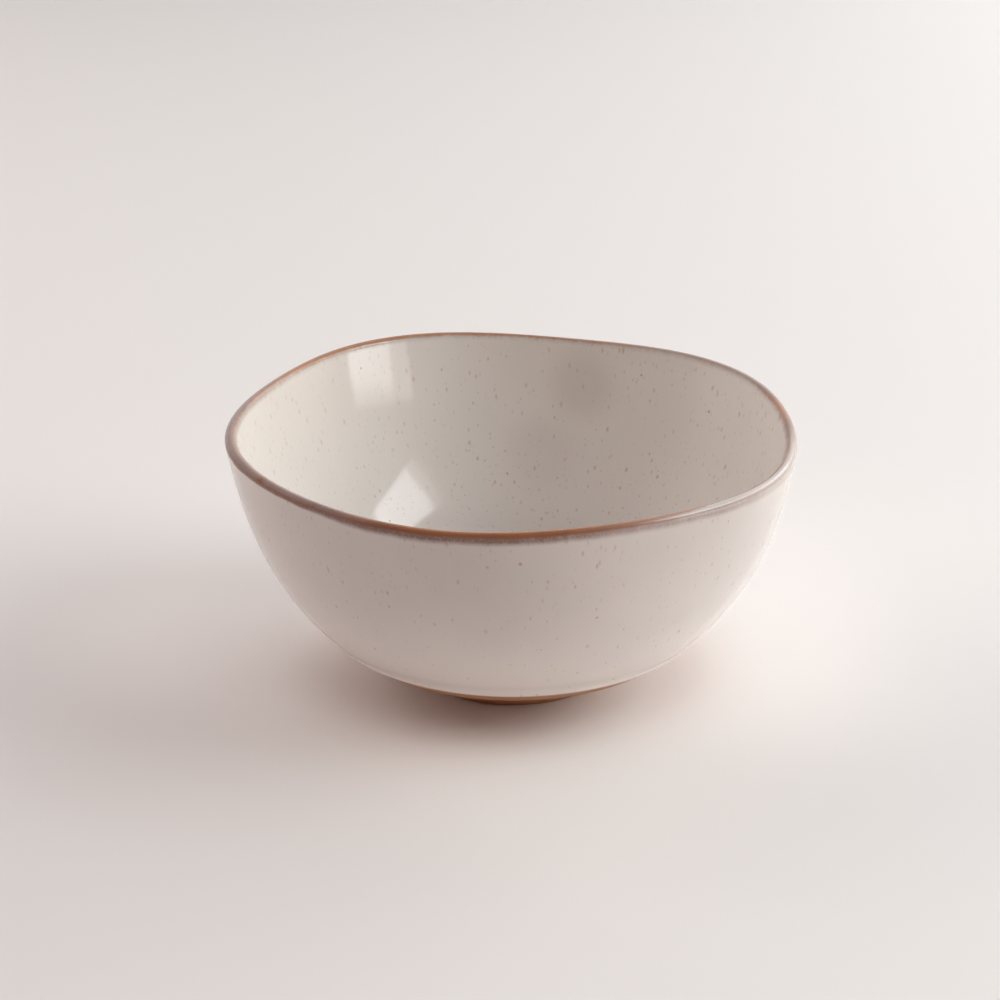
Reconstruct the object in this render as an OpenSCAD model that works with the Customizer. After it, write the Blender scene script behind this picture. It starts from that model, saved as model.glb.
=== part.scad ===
// Cereal bowl: a thrown stoneware body with a softly uneven rim, a turned foot ring,
// a pale glaze inside and out, and an iron-brown band where the glaze thins over the lip.
// Millimetres, +Z up. The origin is the centre of the foot's resting face.

/* [Bowl] */
// Outer diameter at the rim, glaze included, averaged round the outline
rim_d = 149; // [126:1:190]
// Height of the lip's crest above the table, averaged round the outline
bowl_h = 69.5; // [56:0.5:95]
// Thickness of the glazed wall at the lip
lip_t = 3.2; // [2.6:0.1:5]
// Thickness of the glazed wall where it turns into the floor
wall_t = 5.4; // [4:0.1:8]
// Thickness of the glazed floor at its centre
floor_t = 5; // [3.5:0.1:8]
// Diameter of the hip, the edge between the thrown wall and the trimmed underside
hip_d = 97; // [84:1:112]
// Height of the hip above the table
hip_h = 13.7; // [11:0.1:18]
// Slope of the wall as it leaves the hip, in degrees from level
hip_slope = 42; // [32:1:52]
// Slope of the wall as it reaches the lip, in degrees from level
lip_slope = 81; // [72:1:88]
// Fullness of the wall's curve, as the length of its handles over its chord
wall_fullness = 0.37; // [0.28:0.01:0.42]

/* [Foot ring] */
// Outer diameter of the foot ring where it joins the body
foot_d = 55; // [44:1:68]
// Height of the foot ring, from the table to the body
foot_h = 6.5; // [5:0.1:9]
// Width of the foot ring where it joins the body
foot_w = 7; // [5:0.1:9]
// Lean of the foot ring's walls towards its middle, in degrees
foot_draft = 5; // [0:0.5:10]
// Bevel turned on the outer edge of the resting face
foot_bevel = 1.3; // [0.5:0.1:2]
// Bevel turned on the inner edge of the resting face
foot_inner_bevel = 0.8; // [0.4:0.1:1.5]

/* [Underside] */
// Flat land round the foot ring's seat
foot_land = 1.2; // [0.5:0.1:3]
// Slope of the trimmed underside beside the land, in degrees from level
under_slope = 12; // [6:1:16]

/* [Glaze] */
// Thickness of the fired glaze
glaze_t = 0.4; // [0.2:0.05:0.8]
// Width of bare clay left above the hip
bare_band = 0.8; // [0.4:0.1:3]
// Reach of the brown band down the outside, below the rounded lip
band_out = 1.6; // [0.8:0.1:5]
// Reach of the brown band down the inside, below the rounded lip
band_in = 0.8; // [0.5:0.1:4]

/* [Rim outline] */
// Two-lobed swell of the outline
swell_2 = 0.5; // [0:0.1:2.5]
// Direction of a two-lobed crest, in degrees from +X
swell_2_dir = 122; // [0:1:180]
// Three-lobed swell of the outline
swell_3 = 0.8; // [0:0.1:2.5]
// Direction of a three-lobed crest, in degrees from +X
swell_3_dir = 119; // [0:1:120]
// Four-lobed swell of the outline
swell_4 = 1; // [0:0.1:2.5]
// Direction of a four-lobed crest, in degrees from +X
swell_4_dir = 26; // [0:1:90]
// Five-lobed swell of the outline
swell_5 = 1.3; // [0:0.1:2.5]
// Direction of a five-lobed crest, in degrees from +X
swell_5_dir = 42; // [0:1:72]

/* [Rim height] */
// Rise of the rim to one side
rise_1 = 0.5; // [0:0.1:2]
// Direction of that rise, in degrees from +X
rise_1_dir = 175; // [0:1:360]
// Two-lobed rise of the rim
rise_2 = 0.2; // [0:0.1:2]
// Direction of a two-lobed crest, in degrees from +X
rise_2_dir = 141; // [0:1:180]
// Three-lobed rise of the rim
rise_3 = 0.5; // [0:0.1:2]
// Direction of a three-lobed crest, in degrees from +X
rise_3_dir = 44; // [0:1:120]

/* [Hidden] */

// Facets round the bowl, and rows along each stretch of its section
sides = 72;
under_rows = 4;
wall_rows = 10;
lip_rows = 6;
inner_rows = 6;
floor_rows = 6;
foot_fn = 96;

// How late the uneven rim sets in, going up the wall: 1 is steadily, higher is later
set_in = 1.5;
// Where the inner wall turns into the floor, as a share of the wall's curve
turn_at = 0.22;
// How far the floor's handles reach towards the corner of wall and floor
floor_fullness = 0.78;

lip_r = lip_t / 2;
lip_centre = [rim_d / 2 - lip_r, bowl_h - lip_r];
foot_r = foot_d / 2;
floor_z = foot_h + floor_t;

// Points and directions in the section plane are [radius, height].
function slope_dir(slope) = [cos(slope), sin(slope)];
function unit(v) = v / norm(v);
// The side of a path that faces the air, for a path up the outside, over the lip and down the inside
function air_side(direction) = [direction[1], -direction[0]];

function bezier(c, t) =
    pow(1 - t, 3) * c[0] + 3 * pow(1 - t, 2) * t * c[1] + 3 * (1 - t) * t * t * c[2] + pow(t, 3) * c[3];
function bezier_dir(c, t) =
    unit(pow(1 - t, 2) * (c[1] - c[0]) + 2 * (1 - t) * t * (c[2] - c[1]) + t * t * (c[3] - c[2]));

// The wall's outer curve, from the hip to the lip
wall_start = [hip_d / 2, hip_h];
wall_end = lip_centre + lip_r * air_side(slope_dir(lip_slope));
wall_handle = wall_fullness * norm(wall_end - wall_start);
wall_curve = [
    wall_start,
    wall_start + wall_handle * slope_dir(hip_slope),
    wall_end - wall_handle * slope_dir(lip_slope),
    wall_end
];
// Steps along the curve near either end, for a length measured from that end
function wall_share(length) = length / (3 * wall_handle);
glaze_from = wall_share(bare_band);
band_from = 1 - wall_share(band_out);
band_to = 1 - wall_share(band_in);

// The wall's inner curve is the outer one, set in by a thickness that grows from the lip to the turn
function wall_depth(t) = lip_t + (wall_t - lip_t) * (1 - t) / (1 - turn_at);
function inner_wall(t) = bezier(wall_curve, t) - wall_depth(t) * air_side(bezier_dir(wall_curve, t));

// The floor's curve, from the turn to the centre
turn_point = inner_wall(turn_at);
turn_dir = bezier_dir(wall_curve, turn_at);
floor_corner = [turn_point[0] - (turn_point[1] - floor_z) * turn_dir[0] / turn_dir[1], floor_z];
floor_centre = [0, floor_z];
floor_curve = [
    turn_point,
    turn_point + floor_fullness * (floor_corner - turn_point),
    floor_centre + floor_fullness * (floor_corner - floor_centre),
    floor_centre
];

// The glazed section, as [radius, height, air side radius, air side height]
outer_section = [
    for (i = [0:wall_rows])
        let (t = glaze_from + (band_from - glaze_from) * i / wall_rows)
            concat(bezier(wall_curve, t), air_side(bezier_dir(wall_curve, t)))
];
lip_stretch = [
    for (i = [0:lip_rows])
        let (side = slope_dir(lip_slope - 90 + 180 * i / lip_rows))
            concat(lip_centre + lip_r * side, side)
];
inner_stretch = [
    for (i = [0:inner_rows])
        let (t = band_to + (turn_at - band_to) * i / inner_rows)
            concat(inner_wall(t), -air_side(bezier_dir(wall_curve, t)))
];
floor_stretch = concat(
    [
        for (i = [1:floor_rows - 1])
            let (t = i / floor_rows)
                concat(bezier(floor_curve, t), air_side(bezier_dir(floor_curve, t)))
    ],
    [concat(floor_centre, [0, 1])]
);
rim_section = concat([outer_section[wall_rows]], lip_stretch, [inner_stretch[0]]);
inner_section = concat(inner_stretch, floor_stretch);

// The surface of a section, and the clay under its glaze
function glazed(section) = [for (p = section) [p[0], p[1]]];
function under_glaze(section) = [for (p = section) [p[0] - glaze_t * p[2], p[1] - glaze_t * p[3]]];
function reversed(list) = [for (i = [len(list) - 1:-1:0]) list[i]];

// The bare underside, from the base's centre out to the hip
clay_hip = wall_start - glaze_t * air_side(slope_dir(hip_slope));
land_edge = [foot_r + foot_land, foot_h];
under_bend_r = (land_edge[0] + clay_hip[0]) / 2;
under_bend = [under_bend_r, foot_h + (under_bend_r - land_edge[0]) * tan(under_slope)];
underside = concat(
    [[0, foot_h]],
    [
        for (i = [0:under_rows])
            let (t = i / under_rows)
                pow(1 - t, 2) * land_edge + 2 * (1 - t) * t * under_bend + t * t * clay_hip
    ]
);
clay_section = concat(
    underside,
    under_glaze(outer_section),
    under_glaze(lip_stretch),
    under_glaze(inner_section)
);

// The uneven rim: a share of the radius and a height, by direction
function wave(lobes, size, dir, a) = size * cos(lobes * (a - dir));
function swell(a) = (
    wave(2, swell_2, swell_2_dir, a) + wave(3, swell_3, swell_3_dir, a)
    + wave(4, swell_4, swell_4_dir, a) + wave(5, swell_5, swell_5_dir, a)
) / lip_centre[0];
function rise(a) =
    wave(1, rise_1, rise_1_dir, a) + wave(2, rise_2, rise_2_dir, a) + wave(3, rise_3, rise_3_dir, a);
// How much of the unevenness a section point takes: none at the foot, all of it at the lip
function unevenness(p) = pow(max(0, (p[1] - foot_h) / (lip_centre[1] - foot_h)), set_in);
// A section point carried round to direction a
function carried(p, a) =
    let (share = unevenness(p), r = p[0] * (1 + share * swell(a)))
        [r * cos(a), r * sin(a), p[1] + share * rise(a)];

// Carries a section round the bowl. A section point on the axis is one shared corner. The quads of
// the first split_turn rows are cut along one diagonal and the rest along the other, so that two
// solids that share a surface, one going up it and one coming back, share its triangles too.
module carry_round(section, closed, split_turn) {
    rows = len(section);
    function corner(j, i) = let (k = j % rows) k * sides + (section[k][0] == 0 ? 0 : i % sides);
    function halves(j, i) = j < split_turn
        ? [
            [corner(j, i), corner(j + 1, i), corner(j + 1, i + 1)],
            [corner(j, i), corner(j + 1, i + 1), corner(j, i + 1)]
        ]
        : [
            [corner(j, i), corner(j + 1, i), corner(j, i + 1)],
            [corner(j + 1, i), corner(j + 1, i + 1), corner(j, i + 1)]
        ];
    function is_face(f) = f[0] != f[1] && f[1] != f[2] && f[2] != f[0];
    polyhedron(
        points = [for (p = section) for (i = [0:sides - 1]) carried(p, 360 * i / sides)],
        faces = [
            for (j = [0:rows - (closed ? 1 : 2)])
                for (i = [0:sides - 1])
                    for (f = halves(j, i))
                        if (is_face(f)) f
        ],
        convexity = 6
    );
}

// A coat of glaze over a section
module coat(section) {
    carry_round(concat(glazed(section), reversed(under_glaze(section))), true, len(section));
}

// The fired clay: underside, wall, lip and floor, with the surfaces that the glaze sits on
module clay_body() {
    color("#b9794f") carry_round(clay_section, false, len(clay_section));
}

// The turned ring that the bowl stands on, joined to the flat land under the body
module foot_ring() {
    lean = tan(foot_draft);
    outer_foot = foot_r - foot_h * lean;
    inner_top = foot_r - foot_w;
    inner_foot = inner_top + foot_h * lean;
    color("#a9663f")
        rotate_extrude($fn = foot_fn)
            polygon([
                [inner_top, foot_h],
                [foot_r, foot_h],
                [outer_foot + foot_bevel * lean, foot_bevel],
                [outer_foot - foot_bevel, 0],
                [inner_foot + foot_inner_bevel, 0],
                [inner_foot - foot_inner_bevel * lean, foot_inner_bevel]
            ]);
}

// The pale coat inside, from the floor's centre up to the brown band
module inner_glaze() {
    color("#ddd8cf") coat(inner_section);
}

// The pale coat outside, from the bare band above the hip up to the brown band
module outer_glaze() {
    color("#ddd8cf") coat(outer_section);
}

// The brown band over the lip
module rim_glaze() {
    color("#7d4f33") coat(rim_section);
}

clay_body();
foot_ring();
inner_glaze();
outer_glaze();
rim_glaze();
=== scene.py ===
"""Dresses a packed stoneware cereal bowl: its clay, its turned foot, its glaze, and a plain stage."""

import math

import bpy
from bpy.props import FloatProperty, FloatVectorProperty, IntProperty, PointerProperty
from mathutils import Matrix, Vector


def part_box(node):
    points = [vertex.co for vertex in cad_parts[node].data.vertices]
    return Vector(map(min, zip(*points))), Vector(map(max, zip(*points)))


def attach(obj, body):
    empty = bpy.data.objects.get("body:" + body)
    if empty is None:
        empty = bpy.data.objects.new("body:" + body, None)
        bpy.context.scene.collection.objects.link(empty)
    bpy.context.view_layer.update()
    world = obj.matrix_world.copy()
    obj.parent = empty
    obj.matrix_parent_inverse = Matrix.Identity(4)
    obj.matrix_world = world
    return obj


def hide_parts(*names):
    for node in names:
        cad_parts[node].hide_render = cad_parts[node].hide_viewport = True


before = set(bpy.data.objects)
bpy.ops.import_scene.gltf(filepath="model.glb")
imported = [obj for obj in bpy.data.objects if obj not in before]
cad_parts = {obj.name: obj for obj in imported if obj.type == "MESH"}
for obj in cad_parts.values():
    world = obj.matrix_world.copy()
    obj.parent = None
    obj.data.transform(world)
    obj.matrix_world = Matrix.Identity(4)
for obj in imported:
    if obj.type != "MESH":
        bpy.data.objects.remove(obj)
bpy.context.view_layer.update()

bl_info = {
    "name": "Cereal bowl",
    "version": (1, 0, 0),
    "blender": (4, 5, 0),
    "location": "3D View > Sidebar > Bowl",
    "description": "Makes a glazed stoneware cereal bowl around its packed solids",
    "category": "Add Mesh",
}

MM = 0.001
BODY = "root"
FOOT_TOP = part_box("foot_ring")[1]
FALL = "fall"
CREASE = math.radians(35)
MERGE_WITHIN = 0.001 * MM
FLOOR_SIDES = 96
SENSOR_MM = 36

# Soft boxes: aim from the bowl as azimuth and elevation, distance, middle in the plane that faces the bowl,
# size, roll, radiance, and the kind of surface that sees it
LAMPS = (
    ("key", (-4, 31), 1.5, (0, 0), (0.9, 1.0), 0, (3.3, 3.7, 3.95), "matt"),
    ("key_low", (-10, 20), 1.5, (0, 0), (0.9, 0.8), 0, (3.1, 2.95, 2.6), "matt"),
    ("side", (40, 12), 1.5, (0, 0), (1.2, 0.8), 0, (5.5, 5.9, 5.8), "matt"),
    ("left", (165, 24), 1.5, (0, 0), (1.2, 1.2), 0, (2.65, 2.46, 2.33), "matt"),
    ("top", (-80, 58), 1.5, (0, 0), (0.8, 0.8), 0, (2.05, 1.95, 1.95), "matt"),
    ("window_high", (-15, 50), 1.3, (0.21, -0.075), (0.68, 0.39), 0, (5.3, 5.3, 5.3), "gloss"),
    ("window_low", (-22, 12), 1.3, (0.162, -0.084), (0.8, 0.19), -19, (4.9, 4.9, 4.9), "gloss"),
    ("sill_low", (-22, 12), 1.3, (0.203, 0.034), (0.8, 0.06), -19, (2.4, 2.4, 2.4), "gloss"),
    ("window_side", (38, 35), 1.3, (0, 0), (1.1, 0.22), -22, (3.0, 3.0, 3.0), "gloss"),
    ("pane_high", (-15, 50), 1.3, (-0.215, -0.06), (0.17, 0.42), 0, (1.6, 1.6, 1.6), "gloss"),
    ("pane_low", (-22, 12), 1.3, (-0.37, 0.125), (0.34, 0.22), -19, (2.2, 2.2, 2.2), "gloss"),
)
# Air: the side it comes from, its colour on matt surfaces, and its colour in a reflection
AIR = (
    ((-1, 0, 0), (0.0, 0.0, 0.0), (0.35, 0.34, 0.33)),
    ((0, 1, 0), (1.5, 1.49, 1.6), (0.95, 0.93, 0.90)),
    ((0, -1, 0), (0.12, 0.05, 0.03), (0.90, 0.88, 0.85)),
    ((0, 0, 1), (0.0, 0.0, 0.0), (0.10, 0.10, 0.10)),
)
# Painted dark reflections inside the bowl, as soft darker spots in the glaze: middle in mm, reach in mm,
# depth
PAINTED_DARK_REFLECTIONS = (((20, 63, 57), 15, 0.17), ((8, 59, 37), 16, 0.12))


class BowlSection(bpy.types.PropertyGroup):
    """Sizes of the bowl's section, as its solids have them."""

    rim_d: FloatProperty(
        name="Rim Diameter",
        description="Outer diameter at the rim, glaze included, averaged round the outline",
        default=149 * MM,
        unit="LENGTH",
    )
    bowl_h: FloatProperty(
        name="Height",
        description="Height of the lip's crest above the table, averaged round the outline",
        default=69.5 * MM,
        unit="LENGTH",
    )
    lip_t: FloatProperty(
        name="Lip Thickness",
        description="Thickness of the glazed wall at the lip",
        default=3.2 * MM,
        unit="LENGTH",
    )
    wall_t: FloatProperty(
        name="Wall Thickness",
        description="Thickness of the glazed wall where it turns into the floor",
        default=5.4 * MM,
        unit="LENGTH",
    )
    floor_t: FloatProperty(
        name="Floor Thickness",
        description="Thickness of the glazed floor at its centre",
        default=5 * MM,
        unit="LENGTH",
    )
    hip_d: FloatProperty(
        name="Hip Diameter",
        description="Diameter of the edge between the thrown wall and the trimmed underside",
        default=97 * MM,
        unit="LENGTH",
    )
    hip_h: FloatProperty(
        name="Hip Height",
        description="Height of the hip above the table",
        default=13.7 * MM,
        unit="LENGTH",
    )
    hip_slope: FloatProperty(
        name="Slope at Hip",
        description="Slope of the wall as it leaves the hip, from level",
        default=math.radians(42),
        subtype="ANGLE",
    )
    lip_slope: FloatProperty(
        name="Slope at Lip",
        description="Slope of the wall as it reaches the lip, from level",
        default=math.radians(81),
        subtype="ANGLE",
    )
    wall_fullness: FloatProperty(
        name="Wall Fullness",
        description="Length of the wall curve's handles over its chord",
        default=0.37,
    )
    turn_at: FloatProperty(
        name="Turn",
        description="Where the inner wall turns into the floor, as a share of the wall's curve",
        default=0.22,
    )
    floor_fullness: FloatProperty(
        name="Floor Fullness",
        description="How far the floor's handles reach towards the corner of wall and floor",
        default=0.78,
    )
    foot_h: FloatProperty(
        name="Foot Height",
        description="Height of the foot ring, from the table to the body",
        default=FOOT_TOP.z,
        unit="LENGTH",
    )
    foot_r: FloatProperty(
        name="Foot Radius",
        description="Outer radius of the foot ring where it joins the body",
        default=FOOT_TOP.x,
        unit="LENGTH",
    )
    foot_w: FloatProperty(
        name="Foot Width",
        description="Width of the foot ring where it joins the body",
        default=7 * MM,
        unit="LENGTH",
    )
    foot_draft: FloatProperty(
        name="Foot Draft",
        description="Lean of the foot ring's walls towards its middle",
        default=math.radians(5),
        subtype="ANGLE",
    )
    foot_bevel: FloatProperty(
        name="Outer Bevel",
        description="Bevel turned on the outer edge of the resting face",
        default=1.3 * MM,
        unit="LENGTH",
    )
    foot_inner_bevel: FloatProperty(
        name="Inner Bevel",
        description="Bevel turned on the inner edge of the resting face",
        default=0.8 * MM,
        unit="LENGTH",
    )
    foot_land: FloatProperty(
        name="Foot Land",
        description="Flat land round the foot ring's seat",
        default=1.2 * MM,
        unit="LENGTH",
    )
    under_slope: FloatProperty(
        name="Underside Slope",
        description="Slope of the trimmed underside beside the land, from level",
        default=math.radians(12),
        subtype="ANGLE",
    )
    glaze_t: FloatProperty(
        name="Glaze Thickness",
        description="Thickness of the fired glaze",
        default=0.4 * MM,
        unit="LENGTH",
    )
    bare_band: FloatProperty(
        name="Bare Band",
        description="Width of bare clay left above the hip",
        default=0.8 * MM,
        unit="LENGTH",
    )
    hip_run: FloatProperty(
        name="Hip Run",
        description="How far the wall's bare clay runs on below the hip before it turns under",
        default=4.2 * MM,
        unit="LENGTH",
    )
    band_out: FloatProperty(
        name="Band Outside",
        description="Reach of the brown band's coat down the outside, below the rounded lip",
        default=1.6 * MM,
        unit="LENGTH",
    )
    band_in: FloatProperty(
        name="Band Inside",
        description="Reach of the brown band's coat down the inside, below the rounded lip",
        default=0.8 * MM,
        unit="LENGTH",
    )
    roll_t: FloatProperty(
        name="Glaze Roll",
        description="Extra thickness of the roll along the glaze's lower edge",
        default=0.3 * MM,
        unit="LENGTH",
    )
    roll_w: FloatProperty(
        name="Glaze Roll Width",
        description="Width of the roll along the glaze's lower edge",
        default=3.4 * MM,
        unit="LENGTH",
    )


class BowlRim(bpy.types.PropertyGroup):
    """The uneven rim, as waves round the bowl."""

    swell: FloatVectorProperty(
        name="Swell",
        description="Swell of the outline with two, three, four and five lobes",
        size=4,
        default=(0.5 * MM, 0.8 * MM, 1.0 * MM, 1.3 * MM),
        unit="LENGTH",
    )
    swell_dir: FloatVectorProperty(
        name="Swell Direction",
        description="Direction of a crest with two, three, four and five lobes, from +X",
        size=4,
        default=[math.radians(a) for a in (122, 119, 26, 42)],
    )
    rise: FloatVectorProperty(
        name="Rise",
        description="Rise of the rim with one, two and three lobes",
        size=3,
        default=(0.5 * MM, 0.2 * MM, 0.5 * MM),
        unit="LENGTH",
    )
    rise_dir: FloatVectorProperty(
        name="Rise Direction",
        description="Direction of a crest with one, two and three lobes, from +X",
        size=3,
        default=[math.radians(a) for a in (175, 141, 44)],
    )
    set_in: FloatProperty(
        name="Set In",
        description="How late the waves set in, going up the wall: 1 is steadily, higher is later",
        default=1.5,
    )
    sides: IntProperty(
        name="Sides",
        description="Facets round the bowl",
        default=240,
        min=24,
    )


class BowlColours(bpy.types.PropertyGroup):
    """Colours of the clay and the glaze."""

    pale: FloatVectorProperty(
        name="Pale Glaze",
        description="The glaze where it is thick",
        subtype="COLOR",
        default=(0.80, 0.73, 0.687),
    )
    inner: FloatVectorProperty(
        name="Glaze Inside",
        description="Glaze inside the bowl, a little greener",
        subtype="COLOR",
        default=(0.75, 0.696, 0.641),
    )
    cool: FloatVectorProperty(
        name="Cool Cloud",
        description="The glaze where it clouds to a cool grey",
        subtype="COLOR",
        default=(0.75, 0.69, 0.66),
    )
    brown: FloatVectorProperty(
        name="Rim Brown",
        description="Iron brown where the glaze is thin over the lip",
        subtype="COLOR",
        default=(0.42, 0.143, 0.043),
    )
    brown_dark: FloatVectorProperty(
        name="Rim Dark Brown",
        description="The darkest of the iron brown",
        subtype="COLOR",
        default=(0.22, 0.069, 0.024),
    )
    bloom: FloatVectorProperty(
        name="Rim Bloom",
        description="Grey bloom on the brown along the crest",
        subtype="COLOR",
        default=(0.33, 0.265, 0.25),
    )
    # Also used for painted shade towards the rim and above the roll, and for painted dark reflections
    # inside
    haze: FloatVectorProperty(
        name="Rim Haze",
        description="Brown-grey haze where the brown runs into the pale glaze",
        subtype="COLOR",
        default=(0.25, 0.14, 0.11),
    )
    # Also used for painted floor-bounce light low on the outer wall and along the glaze's lower edge
    thick: FloatVectorProperty(
        name="Thick Glaze",
        description="The glaze where it gathers along its lower edge",
        subtype="COLOR",
        default=(0.86, 0.784, 0.739),
    )
    tan: FloatVectorProperty(
        name="Tan Speck",
        description="Iron specks deep in the glaze",
        subtype="COLOR",
        default=(0.50, 0.29, 0.17),
    )
    blot: FloatVectorProperty(
        name="Orange Blot",
        description="Rare large iron blots",
        subtype="COLOR",
        default=(0.40, 0.17, 0.075),
    )
    iron: FloatVectorProperty(
        name="Iron Speck",
        description="Iron specks near the surface",
        subtype="COLOR",
        default=(0.26, 0.155, 0.095),
    )
    clay: FloatVectorProperty(
        name="Bare Clay",
        description="Unglazed fired clay",
        subtype="COLOR",
        default=(0.80, 0.345, 0.178),
    )
    # Scorched clay, also used as painted shade on the foot's bottom bevel
    clay_scorch_and_shade: FloatVectorProperty(
        name="Dark Clay",
        description="Unglazed clay where it is scorched and rubbed",
        subtype="COLOR",
        default=(0.24, 0.10, 0.055),
    )


class BowlStage(bpy.types.PropertyGroup):
    """The camera, the lamps and the floor."""

    camera_tilt: FloatProperty(
        name="Camera Elevation",
        description="How far the camera looks down",
        default=math.radians(22.52),
        subtype="ANGLE",
    )
    camera_far: FloatProperty(
        name="Camera Distance",
        description="Distance from the camera to its target",
        default=0.7,
        unit="LENGTH",
    )
    camera_target: FloatVectorProperty(
        name="Camera Target",
        description="The point at the middle of the picture",
        subtype="TRANSLATION",
        default=(-3.42 * MM, 0, 47.62 * MM),
    )
    camera_lens: FloatProperty(
        name="Camera Lens",
        description="Focal length in millimetres, for a sensor 36 mm wide",
        default=95.4,
    )
    floor_r: FloatProperty(
        name="Floor Radius",
        description="Radius of the round floor sheet, which ends inside the lamps",
        default=1.4,
        unit="LENGTH",
    )
    backdrop: FloatVectorProperty(
        name="Backdrop",
        description="Colour seen past the floor's edge",
        subtype="COLOR",
        default=(0.80, 0.765, 0.745),
    )
    floor: FloatVectorProperty(
        name="Floor",
        description="Colour of the floor",
        subtype="COLOR",
        default=(0.84, 0.79, 0.765),
    )


class Value:
    """A node's output that works in Python arithmetic, where each operation adds a Math node."""

    def __init__(self, nodes, socket):
        self.nodes = nodes
        self.socket = socket

    def math(self, operation, *other):
        inputs = dict(zip(("Value", "Value_001"), (self, *other)))
        return self.nodes.add("ShaderNodeMath", {"operation": operation}, inputs)

    def reflected(self, operation, other):
        inputs = {"Value": other, "Value_001": self}
        return self.nodes.add("ShaderNodeMath", {"operation": operation}, inputs)

    def __add__(self, other):
        return self.math("ADD", other)

    def __radd__(self, other):
        return self.reflected("ADD", other)

    def __sub__(self, other):
        return self.math("SUBTRACT", other)

    def __rsub__(self, other):
        return self.reflected("SUBTRACT", other)

    def __mul__(self, other):
        return self.math("MULTIPLY", other)

    def __rmul__(self, other):
        return self.reflected("MULTIPLY", other)

    def __truediv__(self, other):
        return self.math("DIVIDE", other)

    def __rtruediv__(self, other):
        return self.reflected("DIVIDE", other)

    def __pow__(self, other):
        return self.math("POWER", other)

    def __rpow__(self, other):
        return self.reflected("POWER", other)


class Nodes:
    """Adds nodes to one tree."""

    def __init__(self, tree):
        self.tree = tree

    def add(self, kind, settings=None, inputs=None, output=None):
        """Adds a node, sets it up, then sets or links its sockets.

        Returns its first output, or the output or outputs that are named.
        """
        node = self.tree.nodes.new(kind)
        for name, value in (settings or {}).items():
            setattr(node, name, value)
        for name, value in (inputs or {}).items():
            socket = self.find(node.inputs, name)
            if isinstance(value, Value):
                self.tree.links.new(value.socket, socket)
            elif socket.type == "RGBA" and len(value) == 3:
                socket.default_value = (*value, 1)
            else:
                socket.default_value = value
        if isinstance(output, tuple):
            return [Value(self, self.find(node.outputs, name)) for name in output]
        first = next(socket for socket in node.outputs if socket.enabled)
        return Value(self, self.find(node.outputs, output) if output else first)

    @staticmethod
    def find(sockets, name):
        for socket in sockets:
            if socket.enabled and name in (socket.identifier, socket.name):
                return socket
        raise KeyError(f"no socket named {name}")

    def mix(self, factor, a, b):
        """Mixes two colours."""
        return self.add(
            "ShaderNodeMix",
            {"data_type": "RGBA"},
            {"Factor_Float": factor, "A_Color": a, "B_Color": b},
            "Result_Color",
        )

    def ease(self, value, low, high):
        """0 at low and 1 at high, with a soft start and end. High may be under low."""
        return self.add(
            "ShaderNodeMapRange",
            {"interpolation_type": "SMOOTHSTEP"},
            {"Value": value, "From Min": low, "From Max": high},
        )

    def noise(self, vector, scale, detail=2, roughness=0.5):
        inputs = {"Vector": vector, "Scale": scale, "Detail": detail, "Roughness": roughness}
        return self.add("ShaderNodeTexNoise", None, inputs)

    def stretched(self, vector, scale):
        """A vector with its parts scaled apart, to stretch a pattern."""
        return self.add(
            "ShaderNodeVectorMath", {"operation": "MULTIPLY"}, {"Vector": vector, "Vector_001": scale}
        )


def slope_dir(slope):
    return Vector((math.cos(slope), math.sin(slope)))


def air_side(direction):
    """The side that faces the air, on a path up the outside, over the lip and down the inside."""
    return Vector((direction.y, -direction.x))


def bezier(curve, t):
    a, b, c, d = curve
    return (1 - t) ** 3 * a + 3 * (1 - t) ** 2 * t * b + 3 * (1 - t) * t * t * c + t**3 * d


def bezier_dir(curve, t):
    a, b, c, d = curve
    return ((1 - t) ** 2 * (b - a) + 2 * (1 - t) * t * (c - b) + t * t * (d - c)).normalized()


def steps(start, end, count):
    """Count equal steps from start to end, both included."""
    return [start + (end - start) * i / count for i in range(count + 1)]


def bow(start, handle, end, count):
    """A curve of count steps from start to end, drawn towards its handle."""
    return [(1 - t) ** 2 * start + 2 * (1 - t) * t * handle + t * t * end for t in steps(0, 1, count)]


class Coated:
    """A point of the section: its place on the clay and on the glaze's face, and its fall from the lip."""

    def __init__(self, surface, side, glaze_t, coat=None):
        self.clay = surface - side * glaze_t
        self.air = self.clay + side * (glaze_t if coat is None else coat)
        self.fall = 0.0


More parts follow.
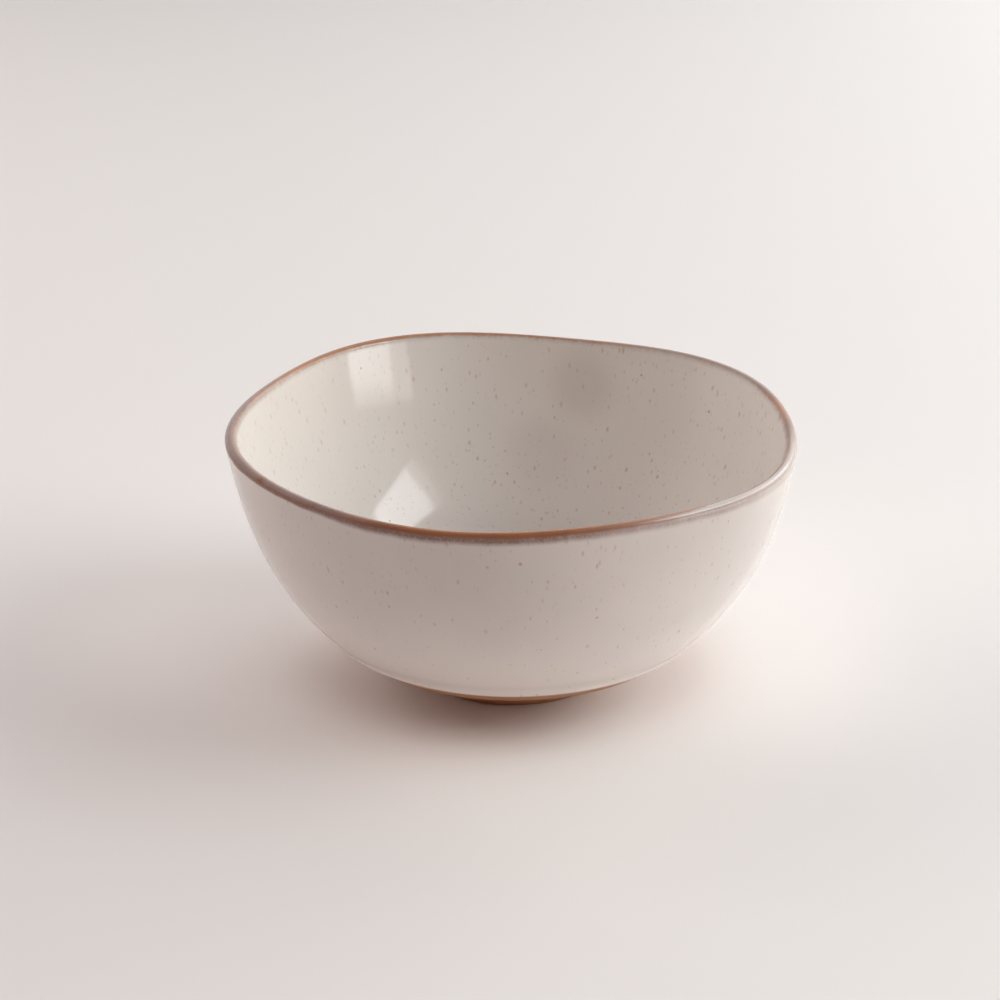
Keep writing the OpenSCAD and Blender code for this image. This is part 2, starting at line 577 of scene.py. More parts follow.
class Section:
    """The bowl's section, in the plane of radius and height."""

    OUTER_ROWS = 44
    ROLL_ROWS = 18
    BAND_ROWS = 4
    LIP_ROWS = 20
    INNER_ROWS = 40
    FLOOR_ROWS = 24
    BASE_ROWS = 12
    TRIM_ROWS = 16
    # The roll of glaze: reach of its rows, crest, spread and rounded edge, in widths of the roll
    ROLL_REACH = 2.4
    ROLL_CREST = 0.4
    ROLL_SPREAD = 0.35
    ROLL_EDGE = 0.3
    # Rounding of turned edges
    HIP_ROUND = 0.8 * MM
    FOOT_ROUND = 0.25 * MM

    def __init__(self, sizes):
        self.sizes = sizes
        lip_r = sizes.lip_t / 2
        self.lip_r = lip_r
        self.lip_centre = Vector((sizes.rim_d / 2 - lip_r, sizes.bowl_h - lip_r))
        start = Vector((sizes.hip_d / 2, sizes.hip_h))
        end = self.lip_centre + lip_r * air_side(slope_dir(sizes.lip_slope))
        self.handle = sizes.wall_fullness * (end - start).length
        self.wall = (
            start,
            start + self.handle * slope_dir(sizes.hip_slope),
            end - self.handle * slope_dir(sizes.lip_slope),
            end,
        )
        turn = self.inner_wall(sizes.turn_at)
        along = bezier_dir(self.wall, sizes.turn_at)
        floor_z = sizes.foot_h + sizes.floor_t
        corner = Vector((turn.x - (turn.y - floor_z) * along.x / along.y, floor_z))
        centre = Vector((0, floor_z))
        self.floor = (
            turn,
            turn.lerp(corner, sizes.floor_fullness),
            centre.lerp(corner, sizes.floor_fullness),
            centre,
        )
        self.band_from = 1 - self.share(sizes.band_out)
        self.band_to = 1 - self.share(sizes.band_in)
        self.outer = self.outer_coat()
        self.rim = self.rim_coat()
        self.inner = self.inner_coat()
        self.measure_fall()

    def share(self, length):
        """A length near either end of the wall, as a share of its curve."""
        return length / (3 * self.handle)

    def inner_wall(self, t):
        sizes = self.sizes
        depth = sizes.lip_t + (sizes.wall_t - sizes.lip_t) * (1 - t) / (1 - sizes.turn_at)
        return bezier(self.wall, t) - depth * air_side(bezier_dir(self.wall, t))

    def on_outer(self, t, coat=None):
        side = air_side(bezier_dir(self.wall, t))
        return Coated(bezier(self.wall, t), side, self.sizes.glaze_t, coat)

    def on_inner(self, t):
        side = -air_side(bezier_dir(self.wall, t))
        return Coated(self.inner_wall(t), side, self.sizes.glaze_t)

    def roll_coat(self, reach):
        """Thickness of the glaze at a distance up from its lower edge, where it gathers in a roll."""
        sizes = self.sizes
        swell = math.exp(-((reach / sizes.roll_w - self.ROLL_CREST) / self.ROLL_SPREAD) ** 2)
        full = sizes.glaze_t + sizes.roll_t * swell
        edge = min(1.0, reach / (self.ROLL_EDGE * sizes.roll_w))
        return full * math.sqrt(1 - (1 - edge) ** 2)

    def outer_coat(self):
        sizes = self.sizes
        reach = self.ROLL_REACH * sizes.roll_w
        lowest = self.share(sizes.bare_band)
        above = lowest + self.share(reach)
        roll = []
        for u in steps(0, 1, self.ROLL_ROWS):
            up = reach * u * u
            roll.append(self.on_outer(lowest + self.share(up), self.roll_coat(up)))
        return roll[:-1] + [self.on_outer(t) for t in steps(above, self.band_from, self.OUTER_ROWS)]

    def rim_coat(self):
        glaze_t = self.sizes.glaze_t
        lip = []
        for turned in steps(-math.pi / 2, math.pi / 2, self.LIP_ROWS):
            side = slope_dir(self.sizes.lip_slope + turned)
            lip.append(Coated(self.lip_centre + self.lip_r * side, side, glaze_t))
        below = [self.on_outer(t) for t in steps(self.band_from, 1, self.BAND_ROWS)]
        inside = [self.on_inner(t) for t in steps(1, self.band_to, self.BAND_ROWS)]
        return below[:-1] + lip + inside[1:]

    def inner_coat(self):
        sizes = self.sizes
        wall = [self.on_inner(t) for t in steps(self.band_to, sizes.turn_at, self.INNER_ROWS)]
        floor = []
        for t in steps(0, 1, self.FLOOR_ROWS)[1:-1]:
            side = air_side(bezier_dir(self.floor, t))
            floor.append(Coated(bezier(self.floor, t), side, sizes.glaze_t))
        middle = Coated(self.floor[3], Vector((0, 1)), sizes.glaze_t)
        return wall + floor + [middle]

    def measure_fall(self):
        """Gives each point its way down from the crest of the lip: outside above 0, inside under 0."""
        path = self.outer + self.rim[1:] + self.inner[1:]
        crest = max(self.rim, key=lambda p: p.air.y)
        way = 0.0
        for before, point in zip(path, path[1:]):
            way -= (point.air - before.air).length
            point.fall = way
        top = crest.fall
        for point in path:
            point.fall -= top
        self.rim[0].fall = self.outer[-1].fall
        self.inner[0].fall = self.rim[-1].fall

    def hip(self):
        """Where the wall turns under, below the bare band."""
        return self.on_outer(0).clay - self.sizes.hip_run * slope_dir(self.sizes.hip_slope)

    def underside(self):
        """The bare clay, from the base's centre out to the lower edge of the glaze."""
        sizes = self.sizes
        edge = self.on_outer(0).clay
        hip = self.hip()
        land = Vector((sizes.foot_r + sizes.foot_land, sizes.foot_h))
        bend_r = (land.x + hip.x) / 2
        bend = Vector((bend_r, sizes.foot_h + (bend_r - land.x) * math.tan(sizes.under_slope)))
        flat = [Vector((r, sizes.foot_h)) for r in steps(0, land.x, self.BASE_ROWS)[:-1]]
        trimmed = bow(land, bend, hip, self.TRIM_ROWS)
        bare = [edge, self.outer[0].clay]
        return rounded(flat + trimmed + bare, len(flat) + self.TRIM_ROWS, self.HIP_ROUND)

    def foot(self):
        """The foot ring as a closed loop, its turned edges rounded."""
        sizes = self.sizes
        lean = math.tan(sizes.foot_draft)
        inner_top = sizes.foot_r - sizes.foot_w
        outer_foot = sizes.foot_r - sizes.foot_h * lean
        inner_foot = inner_top + sizes.foot_h * lean
        corners = [
            (inner_top, sizes.foot_h),
            (inner_foot - sizes.foot_inner_bevel * lean, sizes.foot_inner_bevel),
            (inner_foot + sizes.foot_inner_bevel, 0),
            (outer_foot - sizes.foot_bevel, 0),
            (outer_foot + sizes.foot_bevel * lean, sizes.foot_bevel),
            (sizes.foot_r, sizes.foot_h),
        ]
        loop = [Vector(corner) for corner in corners]
        for corner in (4, 3, 2, 1):
            loop = rounded(loop, corner, self.FOOT_ROUND)
        return loop + loop[:1]


def rounded(path, index, radius, count=6):
    """The path with one corner rounded off by a curve that starts and ends a radius away."""
    before, corner, after = path[index - 1 : index + 2]
    start = corner + (before - corner).normalized() * min(radius, (before - corner).length * 0.45)
    end = corner + (after - corner).normalized() * min(radius, (after - corner).length * 0.45)
    return path[:index] + bow(start, corner, end, count) + path[index + 1 :]


def coat_loop(coat):
    """A coat of glaze as a closed loop of points: its face to the air, then back along the clay."""
    points = [(p.air, p.fall) for p in coat] + [(p.clay, p.fall) for p in reversed(coat)]
    return points + points[:1]


WAVES = [("Swell", lobes) for lobes in (2, 3, 4, 5)] + [("Rise", lobes) for lobes in (1, 2, 3)]
SHAPE_INPUTS = ("Foot Height", "Lip Height", "Lip Radius", "Set In")


def carry_round_tree():
    """The node tree that carries a section round the bowl, uneven towards the rim."""
    tree = bpy.data.node_groups.new("Carry Round", "GeometryNodeTree")
    sockets = {"Section": "Geometry", "Sides": "Int"}
    sockets.update({name: "Float" for name in SHAPE_INPUTS})
    for kind, lobes in WAVES:
        sockets[f"{kind} {lobes}"] = "Float"
        sockets[f"{kind} {lobes} Direction"] = "Float"
    sockets["Material"] = "Material"
    for name, kind in sockets.items():
        tree.interface.new_socket(name, in_out="INPUT", socket_type=f"NodeSocket{kind}")
    tree.interface.new_socket("Bowl", in_out="OUTPUT", socket_type="NodeSocketGeometry")

    nodes = Nodes(tree)
    group = tree.nodes.new("NodeGroupInput")
    given = {socket.name: Value(nodes, socket) for socket in group.outputs if socket.name}
    section = {"Geometry": given["Section"]}
    rows = nodes.add("GeometryNodeAttributeDomainSize", None, section, "Point Count")
    grid = nodes.add(
        "GeometryNodeMeshGrid", None, {"Vertices X": given["Sides"] + 1, "Vertices Y": rows}, "Mesh"
    )
    index = nodes.add("GeometryNodeInputIndex")
    column = ((index + 0.5) / rows).math("FLOOR")
    row = index - column * rows
    angle = column / given["Sides"] * math.tau

    def sampled(kind, value):
        settings = {"data_type": kind, "domain": "POINT"}
        return nodes.add("GeometryNodeSampleIndex", settings, {**section, "Value": value, "Index": row})

    point = sampled("FLOAT_VECTOR", nodes.add("GeometryNodeInputPosition"))
    r, z = nodes.add("ShaderNodeSeparateXYZ", None, {"Vector": point}, ("X", "Z"))
    height = (z - given["Foot Height"]) / (given["Lip Height"] - given["Foot Height"])
    uneven = height.math("MAXIMUM", 0) ** given["Set In"]
    total = {"Swell": 0, "Rise": 0}
    for kind, lobes in WAVES:
        turned = (angle - given[f"{kind} {lobes} Direction"]) * lobes
        total[kind] = given[f"{kind} {lobes}"] * turned.math("COSINE") + total[kind]
    radius = r * (1 + uneven * total["Swell"] / given["Lip Radius"])
    moved = nodes.add(
        "ShaderNodeCombineXYZ",
        None,
        {
            "X": radius * angle.math("COSINE"),
            "Y": radius * angle.math("SINE"),
            "Z": z + uneven * total["Rise"],
        },
    )
    shape = nodes.add("GeometryNodeSetPosition", None, {"Geometry": grid, "Position": moved})
    fall = nodes.add("GeometryNodeInputNamedAttribute", {"data_type": "FLOAT"}, {"Name": FALL})
    shape = nodes.add(
        "GeometryNodeStoreNamedAttribute",
        {"data_type": "FLOAT", "domain": "POINT"},
        {"Geometry": shape, "Name": FALL, "Value": sampled("FLOAT", fall)},
    )
    shape = nodes.add("GeometryNodeMergeByDistance", None, {"Geometry": shape, "Distance": MERGE_WITHIN})
    shape = nodes.add("GeometryNodeSetShadeSmooth", {"domain": "FACE"}, {"Geometry": shape})
    fold = nodes.add("GeometryNodeInputMeshEdgeAngle", None, None, "Unsigned Angle")
    shape = nodes.add(
        "GeometryNodeSetShadeSmooth",
        {"domain": "EDGE"},
        {"Geometry": shape, "Selection": fold.math("GREATER_THAN", CREASE), "Shade Smooth": False},
    )
    shape = nodes.add("GeometryNodeRealizeInstances", None, {"Geometry": shape})
    finish = {"Geometry": shape, "Material": given["Material"]}
    shape = nodes.add("GeometryNodeSetMaterial", None, finish)
    end = tree.nodes.new("NodeGroupOutput")
    tree.links.new(shape.socket, end.inputs["Bowl"])
    return tree


def carry_round(name, points, material):
    """A piece made by carrying section points round the bowl. Each point is a place and its fall."""
    scene = bpy.context.scene
    sizes, rim = scene.bowl_section, scene.bowl_rim
    mesh = bpy.data.meshes.new(f"{name}_section")
    mesh.from_pydata([(p.x, 0, p.y) for p, _ in points], [], [])
    mesh.attributes.new(FALL, "FLOAT", "POINT").data.foreach_set("value", [fall for _, fall in points])
    piece = bpy.data.objects.new(name, mesh)
    scene.collection.objects.link(piece)

    tree = bpy.data.node_groups.get("Carry Round") or carry_round_tree()
    settings = {
        "Sides": rim.sides,
        "Foot Height": sizes.foot_h,
        "Lip Height": sizes.bowl_h - sizes.lip_t / 2,
        "Lip Radius": (sizes.rim_d - sizes.lip_t) / 2,
        "Set In": rim.set_in,
        "Material": material,
    }
    for (kind, lobes), size in zip(WAVES, [*rim.swell, *rim.rise]):
        settings[f"{kind} {lobes}"] = size
    for (kind, lobes), turned in zip(WAVES, [*rim.swell_dir, *rim.rise_dir]):
        settings[f"{kind} {lobes} Direction"] = turned
    modifier = piece.modifiers.new("Carry Round", "NODES")
    modifier.node_group = tree
    for socket in tree.interface.items_tree:
        if socket.name in settings:
            modifier[socket.identifier] = settings[socket.name]
    evaluated = piece.evaluated_get(bpy.context.evaluated_depsgraph_get())
    shaped = bpy.data.meshes.new_from_object(evaluated)
    piece.modifiers.clear()
    piece.data = shaped
    bpy.data.meshes.remove(mesh)
    shaped.name = name
    if len(shaped.polygons) < rim.sides:
        raise RuntimeError(f"{name} has no faces")
    return piece


def place(piece, node):
    """The piece rides on the bowl and stands for its solid, which is hidden."""
    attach(piece, BODY)
    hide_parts(node)


def new_material(name):
    material = bpy.data.materials.new(name)
    material.use_nodes = True
    material.node_tree.nodes.clear()
    return material, Nodes(material.node_tree)


def finish_material(nodes, shader):
    output = nodes.tree.nodes.new("ShaderNodeOutputMaterial")
    nodes.tree.links.new(shader.socket, output.inputs["Surface"])


def specks(nodes, coords, cell, share, size, softness):
    """Specks through the coat, at most one to a cell: how much of one is here, and its shade."""
    distance, chance = nodes.add(
        "ShaderNodeTexVoronoi",
        {"voronoi_dimensions": "3D", "feature": "F1"},
        {"Vector": coords, "Scale": 1 / cell},
        ("Distance", "Color"),
    )
    pick, spread, shade = nodes.add(
        "ShaderNodeSeparateColor", None, {"Color": chance}, ("Red", "Green", "Blue")
    )
    radius = (0.55 + 0.9 * spread * spread) * (size / cell)
    return nodes.ease(distance, radius, radius * (1 - softness)) * pick.math("LESS_THAN", share), shade


class GlazePoint:
    """Where a point of the glaze lies: coords in metres, to scatter patterns, and the rest in mm."""

    def __init__(self, nodes):
        self.coords = nodes.add("ShaderNodeTexCoord", None, None, "Object")
        self.in_mm = nodes.stretched(self.coords, [1 / MM] * 3)
        self.x, self.y = nodes.add("ShaderNodeSeparateXYZ", None, {"Vector": self.in_mm}, ("X", "Y"))
        self.fall = nodes.add("ShaderNodeAttribute", {"attribute_name": FALL}, None, "Fac") / MM
        self.outside = nodes.ease(self.fall, -0.4, 0.4)
        self.left = nodes.ease(self.x, -5, -50)
        self.lowest = Section(bpy.context.scene.bowl_section).outer[0].fall / MM


def glaze_body(nodes, at):
    """Warm white with faint clouds, paler where the glaze gathers low down, with painted shade towards the
    rim outside, towards the rim on the left inside and in a faint line above the roll, painted dark
    reflections in two spots inside, and painted floor-bounce light on the lower outside and along the lower
    edge.
    """
    colours = bpy.context.scene.bowl_colours
    fall, lowest, outside = at.fall, at.lowest, at.outside
    cloud = nodes.ease(nodes.noise(at.coords, 30, 3), 0.3, 0.7)
    colour = nodes.mix(cloud, colours.pale, colours.cool)
    colour = nodes.mix(0.7 - 0.7 * outside, colour, colours.inner)
    # Painted shade: the outer wall darker towards the rim
    painted_shade_outside = nodes.ease(fall, 48, 3) * outside * 0.17
    # Painted shade: the inner wall darker towards the rim, mostly on the left
    painted_shade_left_inside = nodes.ease(fall, -38, -4) * (1 - outside) * (0.02 + 0.13 * at.left)
    colour = nodes.mix(painted_shade_outside + painted_shade_left_inside, colour, colours.haze)
    # Painted dark reflections: two soft darker spots on the glaze inside
    for middle, reach, depth in PAINTED_DARK_REFLECTIONS:
        away = nodes.add(
            "ShaderNodeVectorMath",
            {"operation": "DISTANCE"},
            {"Vector": at.in_mm, "Vector_001": middle},
            "Value",
        )
        spot = nodes.ease(away, reach, reach * 0.2) * (1 - outside)
        colour = nodes.mix(spot * depth, colour, colours.haze)
    # Paler low on the outer wall and towards the floor inside, where the glaze gathers; low on the outer
    # wall this is also painted floor-bounce light
    pooled_and_bounce_light = nodes.ease(fall, 28, lowest - 8) * 0.6 + nodes.ease(fall, -24, -46) * 0.3
    colour = nodes.mix(pooled_and_bounce_light, colour, colours.thick)
    # Painted shade: a faint darker line in the hollow above the roll
    painted_crease_shade = nodes.ease(fall, lowest - 9, lowest - 6.5)
    painted_crease_shade = painted_crease_shade * nodes.ease(fall, lowest - 4.5, lowest - 6.5)
    colour = nodes.mix(painted_crease_shade * 0.05, colour, colours.haze)
    # Paler along the lower edge: thick gathered glaze, and painted floor-bounce light on the bead
    return nodes.mix(nodes.ease(fall, lowest - 6, lowest - 4) * 0.9, colour, colours.thick)


def glaze_specks(nodes, at, colour):
    """Adds specks drawn out down the wall: fine tan, brown, and a rare orange blot."""
    colours = bpy.context.scene.bowl_colours
    outside = at.outside
    runny = nodes.stretched(at.coords, (1, 1, 0.42))
    clump = nodes.ease(nodes.noise(at.coords, 55, 2), 0.3, 0.7)
    fewer_below = 1 - 0.5 * nodes.ease(at.fall, 25, at.lowest - 10)
    share = (0.9 - 0.3 * outside) * (0.55 + 0.9 * clump) * fewer_below
    fine, fine_shade = specks(nodes, runny, 1.26 * MM, share, 0.34 * MM, 0.9)
    main, main_shade = specks(nodes, runny, 1.93 * MM, share, 0.46 * MM, 0.85)
    blot, _ = specks(nodes, at.coords, 9 * MM, 0.3, 0.65 * MM, 0.6)
    depth = (0.9 - 0.12 * outside) * (1 - 0.3 * at.left * (1 - outside))
    colour = nodes.mix(fine * depth * (0.2 + 0.35 * fine_shade), colour, colours.tan)
    speck = nodes.mix(nodes.ease(main_shade, 0.15, 0.4), colours.iron, colours.tan)
    colour = nodes.mix(main * depth * (0.3 + 0.5 * main_shade), colour, speck)
    return nodes.mix(blot * 0.6, colour, colours.blot)


def glaze_rim(nodes, at, colour):
    """Adds the brown lip and what has run from it. Returns the colour and how much of the brown is here."""
    colours = bpy.context.scene.bowl_colours
    coords, x, y, fall = at.coords, at.x, at.y, at.fall
    back = nodes.ease(y, 15, 40)
    near_left = nodes.ease(x, -26, -50) * nodes.ease(y, 45, 15)
    right = nodes.ease(x, 28, 44) * nodes.ease(y, 8, -22)
    back_right = nodes.ease(x, 25, 45)
    far_right = nodes.ease(x, 50, 66)
    wander = nodes.noise(coords, 120, 2) - 0.5
    dots = nodes.noise(coords, 2000, 1) - 0.5
    streak = nodes.noise(nodes.stretched(coords, (1, 1, 0.15)), 700, 2) - 0.5

    # Band: brown between its two edges, worn pale along the crest on the right
    outer_edge = 1.8 + wander
    inner_edge = wander * 0.5 + streak * 0.8 + at.left * 0.4 - 0.7
    inner_end = back * 0.2 - 2.7 - inner_edge
    inner_full = near_left * 1.3 + back * 0.1 - 1.4 - inner_edge
    band = nodes.ease(fall, outer_edge + 0.5, outer_edge - 0.4) * nodes.ease(fall, inner_end, inner_full)
    crest = 0.4 - nodes.ease(x, 40, 52)
    band = band * (1 - right * nodes.ease(fall, crest, crest + 0.5) * (0.9 + dots * 0.5))

    # Iron: mottled brown, darker down the outer face of the lip as painted shade, with a grey bloom on the
    # left and at the back
    mottle_and_shade = nodes.ease(nodes.noise(coords, 90, 3) + dots * 0.25, 0.3, 0.6)
    # Painted shade: the brown darkens down the outer face of the lip
    mottle_and_shade = mottle_and_shade * (1 - 0.65 * nodes.ease(fall, -0.3, 1.6))
    iron = nodes.mix(mottle_and_shade, colours.brown_dark, colours.brown)
    iron = nodes.mix(back * (0.65 - 0.55 * back_right), iron, colours.blot)
    bloom = nodes.ease(nodes.noise(coords, 140, 3, 0.6), 0.18, 0.5)
    bloom = bloom * nodes.ease((fall - 0.5).math("ABSOLUTE"), 1.7, 0.5)
    bloom = bloom * (0.85 + dots * 0.7) * (0.08 + 0.77 * near_left) + back * back_right * 0.5
    iron = nodes.mix(bloom, iron, colours.bloom)

    # Haze: what has run down from the rim, strongest under the front of the lip
    haze_end = outer_edge + 2.5 - 1.4 * nodes.ease(x, -32, -60) + far_right * 0.5
    haze = nodes.ease(fall, haze_end, outer_edge + 0.5) * nodes.ease(fall, 0.9, 1.5)
    strength = 1 - 0.48 * nodes.ease(x, -5, 45) - 0.2 * far_right
    haze = haze * (1 + dots * 0.6 + streak * 0.4) * strength
    inner_haze = nodes.ease(fall, -3.4 - inner_edge, -2 - inner_edge) * (1 - at.outside)
    inner_haze = inner_haze * (0.4 + dots * 0.4) * (1 - 0.4 * back)
    colour = nodes.mix(haze + inner_haze, colour, colours.haze)
    cover = band * (0.97 - 0.2 * nodes.ease(x, 5, 35)) * (1 - 0.1 * back)
    return nodes.mix(cover, colour, iron), band


def glaze_material():
    """Pale speckled glaze that breaks to iron brown over the lip."""
    name = "speckled_glaze"
    if name in bpy.data.materials:
        return bpy.data.materials[name]
    material, nodes = new_material(name)
    at = GlazePoint(nodes)
    colour = glaze_specks(nodes, at, glaze_body(nodes, at))
    colour, band = glaze_rim(nodes, at, colour)

    # Lower edge: the glaze thins out over the clay
    hairline = nodes.ease(at.fall, at.lowest - 0.45, at.lowest - 0.1)
    colour = nodes.mix(hairline * 0.6, colour, bpy.context.scene.bowl_colours.clay)

    # Surface: soft rings from throwing, and a fine peel
    rings = nodes.noise(nodes.stretched(at.coords, (0.1, 0.1, 1)), 240, 2)
    peel = nodes.noise(at.coords, 480, 2)
    slack = nodes.noise(at.coords, 45, 1)
    height = rings * 0.4 + peel * 0.12 + slack * 1.5
    bump = nodes.add("ShaderNodeBump", None, {"Strength": 0.16, "Distance": 0.1 * MM, "Height": height})
    shader = nodes.add(
        "ShaderNodeBsdfPrincipled",
        None,
        {
            "Base Color": colour,
            "Roughness": 0.08 + 0.06 * band + 0.04 * peel,
            "IOR": 1.5,
            "Normal": bump,
        },
    )
    finish_material(nodes, shader)
    return material


def clay_material():
    """Unglazed fired clay, turned and trimmed, with grog and scorch marks, and painted shade on the foot's
    bottom bevel.
    """
    name = "bare_clay"
    if name in bpy.data.materials:
        return bpy.data.materials[name]
    scene = bpy.context.scene
    colours = scene.bowl_colours
    hip_z = Section(scene.bowl_section).hip().y
    material, nodes = new_material(name)
    coords = nodes.add("ShaderNodeTexCoord", None, None, "Object")
    x, y, z = nodes.add("ShaderNodeSeparateXYZ", None, {"Vector": coords}, ("X", "Y", "Z"))
    radius = (x * x + y * y).math("SQRT")
    scorch = nodes.ease(nodes.noise(coords, 110, 4, 0.6), 0.35, 0.75)
    # Painted shade: the foot's bottom bevel, facing the floor, darker
    painted_bevel_shade = nodes.ease(z, 1.6 * MM, 1.1 * MM)
    colour = nodes.mix(scorch * 0.3 + painted_bevel_shade * 0.25, colours.clay, colours.clay_scorch_and_shade)
    grog, _ = specks(nodes, coords, 1.6 * MM, 0.4, 0.26 * MM, 0.6)
    colour = nodes.mix(grog * 0.5, colour, colours.iron)
    # A film of glaze over the bare band on the right
    film = nodes.ease(x, 25 * MM, 38 * MM) * nodes.ease(z, hip_z - 0.6 * MM, hip_z + 0.6 * MM)
    colour = nodes.mix(film * 0.85, colour, colours.thick)
    grain = nodes.noise(coords, 2200, 2)
    turned = (radius * (math.tau / (1.3 * MM)) + nodes.noise(coords, 120, 2) * 6).math("SINE")
    height = grain * 0.5 + turned * 0.35
    bump = nodes.add("ShaderNodeBump", None, {"Strength": 0.5, "Distance": 0.1 * MM, "Height": height})
    shader = nodes.add(
        "ShaderNodeBsdfPrincipled",
        None,
        {"Base Color": colour, "Roughness": 0.78 + 0.12 * grain, "Normal": bump},
    )
    finish_material(nodes, shader)
    return material


def floor_material(colour):
    material, nodes = new_material("pale_floor")
    shader = nodes.add(
        "ShaderNodeBsdfPrincipled",
        None,
        {"Base Color": colour, "Roughness": 0.85, "Specular IOR Level": 0.2},
    )
    finish_material(nodes, shader)
    return material


class BOWL_OT_clay_body(bpy.types.Operator):
    """Make the thrown clay body, with its bare trimmed underside"""

    bl_idname = "bowl.clay_body"
    bl_label = "Clay Body"

    def execute(self, context):
        section = Section(context.scene.bowl_section)
        covered = section.outer[1:] + section.rim[1:] + section.inner[1:]
        points = [(p, 0.0) for p in section.underside()] + [(p.clay, p.fall) for p in covered]
        piece = carry_round("thrown_body", points, clay_material())
        place(piece, "clay_body")
        return {"FINISHED"}


class BOWL_OT_foot_ring(bpy.types.Operator):
    """Make the turned foot ring"""

    bl_idname = "bowl.foot_ring"
    bl_label = "Foot Ring"

    def execute(self, context):
        section = Section(context.scene.bowl_section)
        points = [(p, 0.0) for p in section.foot()]
        piece = carry_round("turned_foot", points, clay_material())
        place(piece, "foot_ring")
        return {"FINISHED"}


class BOWL_OT_glaze(bpy.types.Operator):
    """Make the coats of glaze: inside, outside and over the lip"""

    bl_idname = "bowl.glaze"
    bl_label = "Glaze"

    def execute(self, context):
        section = Section(context.scene.bowl_section)
        coats = (
            ("glaze_inside", section.inner, "inner_glaze", "pale_glaze"),
            ("glaze_outside", section.outer, "outer_glaze", "pale_glaze"),
            ("glaze_rim", section.rim, "rim_glaze", "brown_glaze"),
        )
        for name, coat, node, slot in coats:
            piece = carry_round(name, coat_loop(coat), glaze_material())
            place(piece, node)
        return {"FINISHED"}


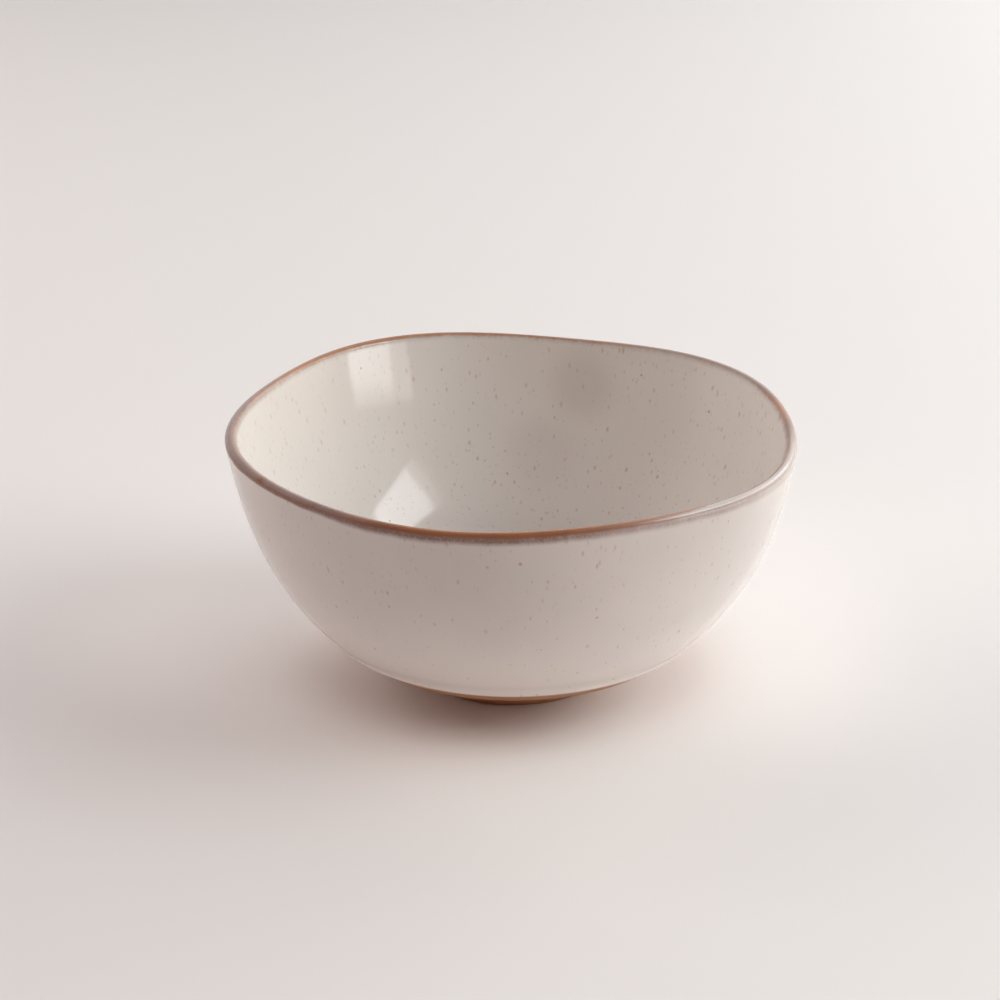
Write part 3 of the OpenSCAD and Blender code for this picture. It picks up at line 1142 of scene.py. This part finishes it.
class BOWL_OT_stage(bpy.types.Operator):
    """Make the floor, the lamps, the air and the camera"""

    bl_idname = "bowl.stage"
    bl_label = "Stage"

    def execute(self, context):
        scene = context.scene
        stage = scene.bowl_stage
        self.make_floor(scene, stage)
        for lamp in LAMPS:
            self.make_lamp(scene, *lamp)
        self.make_air(scene, stage)
        self.make_camera(scene, stage)
        scene.view_settings.view_transform = "Standard"
        return {"FINISHED"}

    def make_floor(self, scene, stage):
        mesh = bpy.data.meshes.new("floor")
        turns = [math.tau * side / FLOOR_SIDES for side in range(FLOOR_SIDES)]
        edge = [(stage.floor_r * math.cos(turn), stage.floor_r * math.sin(turn), 0) for turn in turns]
        mesh.from_pydata(edge, [], [range(FLOOR_SIDES)])
        mesh.materials.append(floor_material(stage.floor))
        floor = bpy.data.objects.new("floor", mesh)
        scene.collection.objects.link(floor)

    def make_lamp(self, scene, name, aim, far, middle, size, roll, radiance, seen):
        """A soft box in a plane that faces the bowl, placed in that plane by its middle and its roll."""
        around, up = (math.radians(a) for a in aim)
        away = Vector((math.cos(up) * math.cos(around), math.cos(up) * math.sin(around), math.sin(up)))
        across = Vector((-math.sin(around), math.cos(around), 0))
        over = away.cross(across)
        light = bpy.data.lights.new(name, "AREA")
        light.shape = "RECTANGLE"
        light.size, light.size_y = size
        light.energy = math.pi * size[0] * size[1] * max(radiance)
        light.color = [part / max(radiance) for part in radiance]
        lamp = bpy.data.objects.new(name, light)
        spot = Vector((0, 0, scene.bowl_section.bowl_h / 2)) + away * far
        spot += across * middle[0] + over * middle[1]
        axes = Matrix((across, over, away)).transposed().to_4x4()
        turn = Matrix.Rotation(math.radians(roll), 4, "Z")
        lamp.matrix_world = Matrix.Translation(spot) @ axes @ turn
        lamp.visible_diffuse = seen != "gloss"
        lamp.visible_glossy = seen != "matt"
        scene.collection.objects.link(lamp)

    def make_air(self, scene, stage):
        """Soft light from all round, with its own colour from each side."""
        world = bpy.data.worlds.new("air")
        world.use_nodes = True
        world.node_tree.nodes.clear()
        nodes = Nodes(world.node_tree)
        way = nodes.add("ShaderNodeTexCoord", None, None, "Generated")
        matt, gloss = None, None
        for side, matt_colour, gloss_colour in AIR:
            facing = nodes.add(
                "ShaderNodeVectorMath",
                {"operation": "DOT_PRODUCT"},
                {"Vector": way, "Vector_001": side},
                "Value",
            )
            share = facing.math("MAXIMUM", 0) ** 2
            matt = self.add_side(nodes, matt, matt_colour, share)
            gloss = self.add_side(nodes, gloss, gloss_colour, share)
        seen, mirrored = nodes.add("ShaderNodeLightPath", None, None, ("Is Camera Ray", "Is Glossy Ray"))
        light = nodes.mix(seen, nodes.mix(mirrored, matt, gloss), stage.backdrop)
        shader = nodes.add("ShaderNodeBackground", None, {"Color": light})
        output = world.node_tree.nodes.new("ShaderNodeOutputWorld")
        world.node_tree.links.new(shader.socket, output.inputs["Surface"])
        scene.world = world

    def add_side(self, nodes, total, colour, share):
        """The light gathered so far, with one more side's share of its colour."""
        inputs = {"Vector": colour, "Scale": share}
        part = nodes.add("ShaderNodeVectorMath", {"operation": "SCALE"}, inputs)
        if total is None:
            return part
        return nodes.add("ShaderNodeVectorMath", None, {"Vector": total, "Vector_001": part})

    def make_camera(self, scene, stage):
        tilt = stage.camera_tilt
        back = Vector((0, -math.cos(tilt), math.sin(tilt)))
        camera = bpy.data.objects.new("camera", bpy.data.cameras.new("camera"))
        camera.data.lens = stage.camera_lens
        camera.data.sensor_width = SENSOR_MM
        camera.location = Vector(stage.camera_target) + back * stage.camera_far
        camera.rotation_euler = (math.pi / 2 - tilt, 0, 0)
        scene.collection.objects.link(camera)
        scene.camera = camera


class BOWL_PT_panel(bpy.types.Panel):
    """Lists the bowl's pieces"""

    bl_idname = "BOWL_PT_panel"
    bl_label = "Cereal Bowl"
    bl_space_type = "VIEW_3D"
    bl_region_type = "UI"
    bl_category = "Bowl"

    def draw(self, context):
        for operator in PIECES:
            self.layout.operator(operator.bl_idname)


PIECES = (BOWL_OT_clay_body, BOWL_OT_foot_ring, BOWL_OT_glaze, BOWL_OT_stage)
GROUPS = {
    "bowl_section": BowlSection,
    "bowl_rim": BowlRim,
    "bowl_colours": BowlColours,
    "bowl_stage": BowlStage,
}


def register():
    for cls in (*GROUPS.values(), *PIECES, BOWL_PT_panel):
        bpy.utils.register_class(cls)
    for name, group in GROUPS.items():
        setattr(bpy.types.Scene, name, PointerProperty(type=group))


def unregister():
    for name in GROUPS:
        delattr(bpy.types.Scene, name)
    for cls in (BOWL_PT_panel, *reversed(PIECES), *reversed(GROUPS.values())):
        bpy.utils.unregister_class(cls)


def main():
    register()
    bpy.ops.bowl.clay_body()
    bpy.ops.bowl.foot_ring()
    bpy.ops.bowl.glaze()
    bpy.ops.bowl.stage()
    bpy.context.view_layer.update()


if __name__ == "__main__":
    main()
